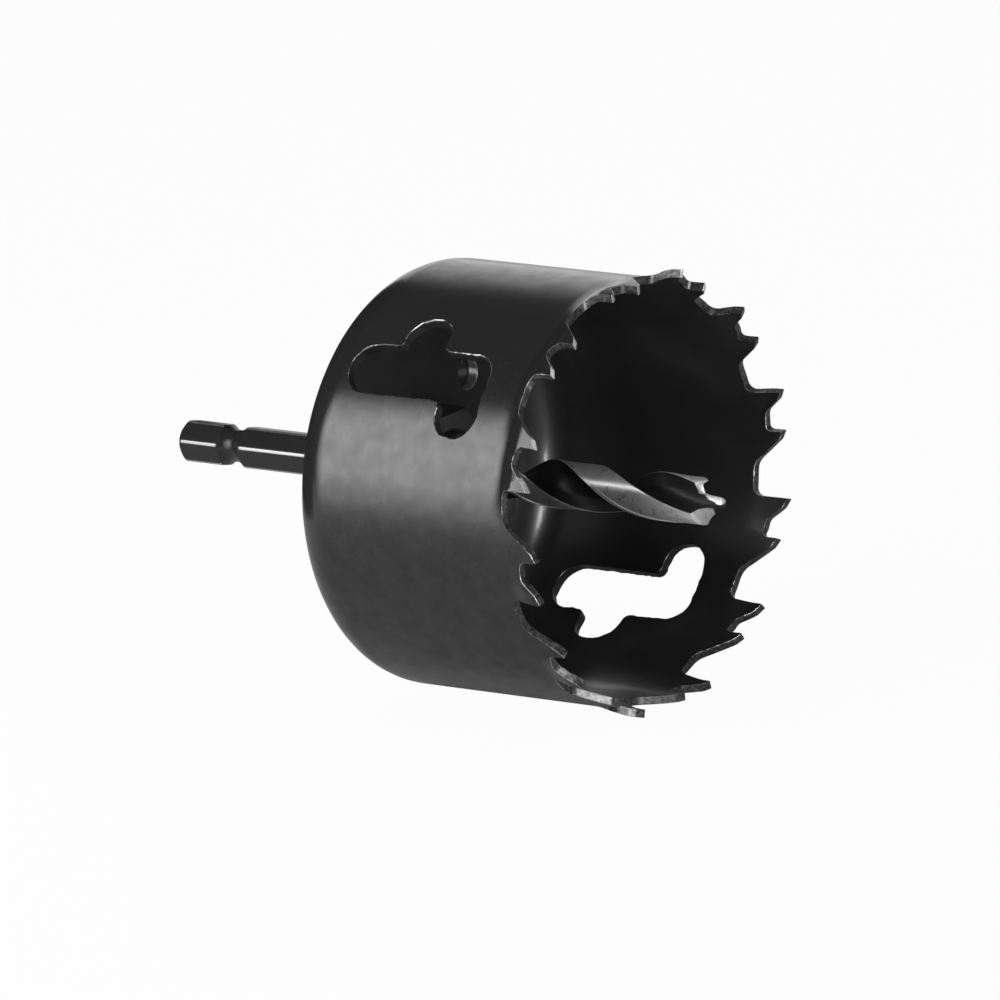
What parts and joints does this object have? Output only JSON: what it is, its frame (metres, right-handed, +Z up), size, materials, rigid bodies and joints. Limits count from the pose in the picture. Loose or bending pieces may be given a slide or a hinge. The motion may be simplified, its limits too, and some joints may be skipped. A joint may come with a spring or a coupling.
{
  "type": "hole saw",
  "caption": "Hole saw for wood and board: a drawn steel cup with a toothed rim and plug slots, on a hexagon shank with a brad point pilot drill.",
  "frame": {"origin": "centre of the end face of the shank, on the tool axis", "axes": "+X along the tool axis towards the teeth, +Z up; the tool lies on the side of its cup"},
  "size_m": [0.1034, 0.066, 0.066],
  "materials": {
    "cup_coating": "satin black coating",
    "blackened_steel": "black oxide, lightly oiled",
    "ground_steel": "ground lands with blackened flutes"
  },
  "bodies": {
    "root": {"cup": "cup_coating", "backing_washer": "blackened_steel", "arbor": "blackened_steel", "lock_nut": "blackened_steel", "grub_screw": "blackened_steel", "pilot_drill": "ground_steel"}
  },
  "joints": []
}
